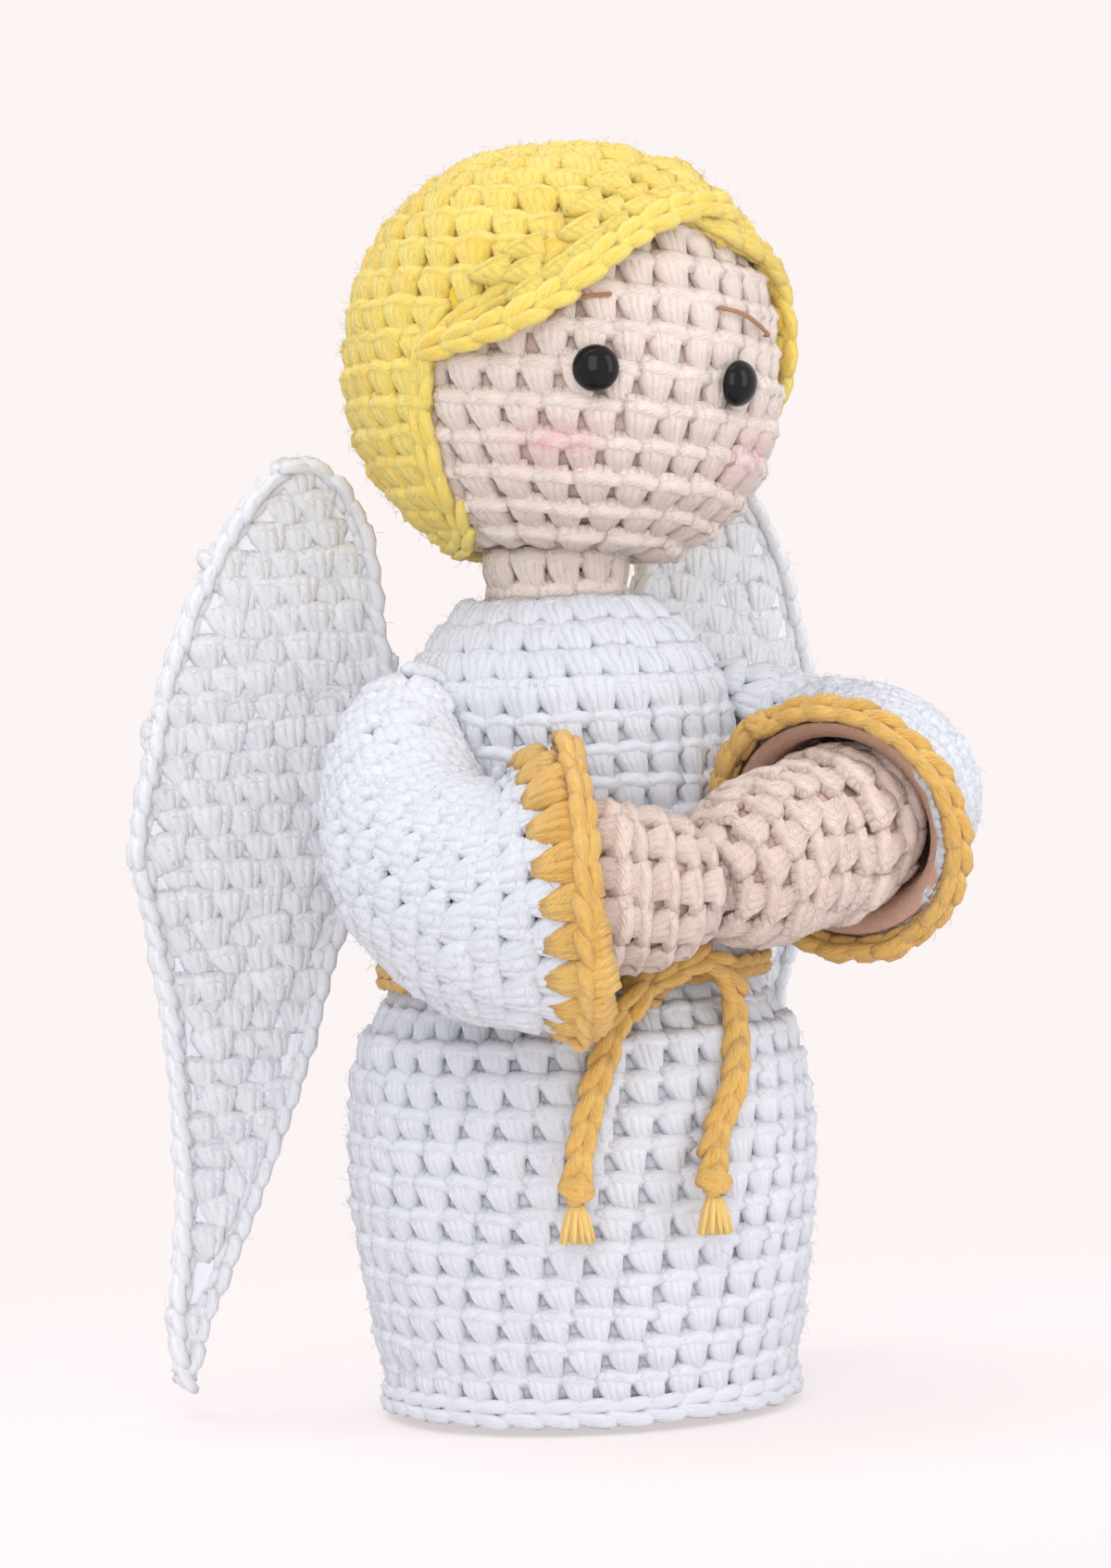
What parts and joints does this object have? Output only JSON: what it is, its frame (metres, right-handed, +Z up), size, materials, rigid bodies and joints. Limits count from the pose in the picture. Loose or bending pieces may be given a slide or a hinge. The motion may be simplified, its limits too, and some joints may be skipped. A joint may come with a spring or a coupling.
{
  "type": "crocheted angel doll",
  "caption": "Crocheted amigurumi angel with yellow hair, white dress and wings, bell sleeves with gold trim, joined hands and a tied gold cord belt.",
  "frame": {"origin": "centre of the flat base panel, on the surface the doll stands on", "axes": "+Z up, -Y the way the doll faces, +X the doll's left side"},
  "size_m": [0.1044, 0.0839, 0.1653],
  "materials": {
    "white_yarn": "matte cotton yarn, single crochet",
    "skin_yarn": "matte cotton yarn, single crochet",
    "yellow_yarn": "matte cotton yarn, single crochet",
    "gold_yarn": "matte cotton yarn, chain and edge stitches",
    "brow_thread": "embroidery thread",
    "fibre_fill": "loose polyester fibre",
    "eye_black": "polished black safety eye",
    "washer_plastic": "clear push-on washer"
  },
  "bodies": {
    "torso": {"dress_body": "white_yarn", "base_panel": "white_yarn", "body_stuffing": "fibre_fill", "belt": "gold_yarn", "belt_knot": "gold_yarn", "belt_tail_right": "gold_yarn", "belt_tail_left": "gold_yarn", "tail_knot_right": "gold_yarn", "tail_knot_left": "gold_yarn", "tail_tassel_right": "gold_yarn", "tail_tassel_left": "gold_yarn"},
    "neck": {"neck": "skin_yarn", "neck_stuffing": "fibre_fill"},
    "head": {"head_cover": "skin_yarn", "head_stuffing": "fibre_fill", "hair_cap": "yellow_yarn", "hair_fringe": "yellow_yarn", "eye_right": "eye_black", "eye_left": "eye_black", "eye_washer_right": "washer_plastic", "eye_washer_left": "washer_plastic", "brow_right": "brow_thread", "brow_left": "brow_thread"},
    "right_arm": {"sleeve_right": "white_yarn", "sleeve_trim_right": "gold_yarn", "hand_right": "skin_yarn", "arm_stuffing_right": "fibre_fill"},
    "left_arm": {"sleeve_left": "white_yarn", "sleeve_trim_left": "gold_yarn", "hand_left": "skin_yarn", "arm_stuffing_left": "fibre_fill"},
    "right_wing": {"wing_right": "white_yarn", "wing_edging_right": "white_yarn"},
    "left_wing": {"wing_left": "white_yarn", "wing_edging_left": "white_yarn"}
  },
  "joints": [
    {"name": "head_nod", "type": "hinge", "parent": "torso", "child": "neck", "pos_m": [0, 0, 0.103], "axis": [1, 0, 0], "range_deg": [0, 12], "stiffness_Nm_per_rad": 0.2},
    {"name": "head_turn", "type": "hinge", "parent": "neck", "child": "head", "pos_m": [0, 0, 0.1098], "axis": [0.1132, 0, 0.9936], "range_deg": [-25, 25], "stiffness_Nm_per_rad": 0.05},
    {"name": "right_arm_lift", "type": "hinge", "parent": "torso", "child": "right_arm", "pos_m": [-0.0195, 0, 0.093], "axis": [-1, 0, 0], "range_deg": [0, 40], "stiffness_Nm_per_rad": 0.02},
    {"name": "left_arm_lift", "type": "hinge", "parent": "torso", "child": "left_arm", "pos_m": [0.0195, 0, 0.093], "axis": [-1, 0, 0], "range_deg": [0, 40], "stiffness_Nm_per_rad": 0.02},
    {"name": "right_wing_fold", "type": "hinge", "parent": "torso", "child": "right_wing", "pos_m": [-0.013, 0.02066, 0.0805], "axis": [0, 0.0802, -0.9968], "range_deg": [0, 35], "stiffness_Nm_per_rad": 0.01},
    {"name": "left_wing_fold", "type": "hinge", "parent": "torso", "child": "left_wing", "pos_m": [0.013, 0.02066, 0.0805], "axis": [0, -0.0802, 0.9968], "range_deg": [0, 35], "stiffness_Nm_per_rad": 0.01}
  ],
  "couplings": [
    {"joint": "left_arm_lift", "follows": "right_arm_lift", "ratio": 1}
  ]
}
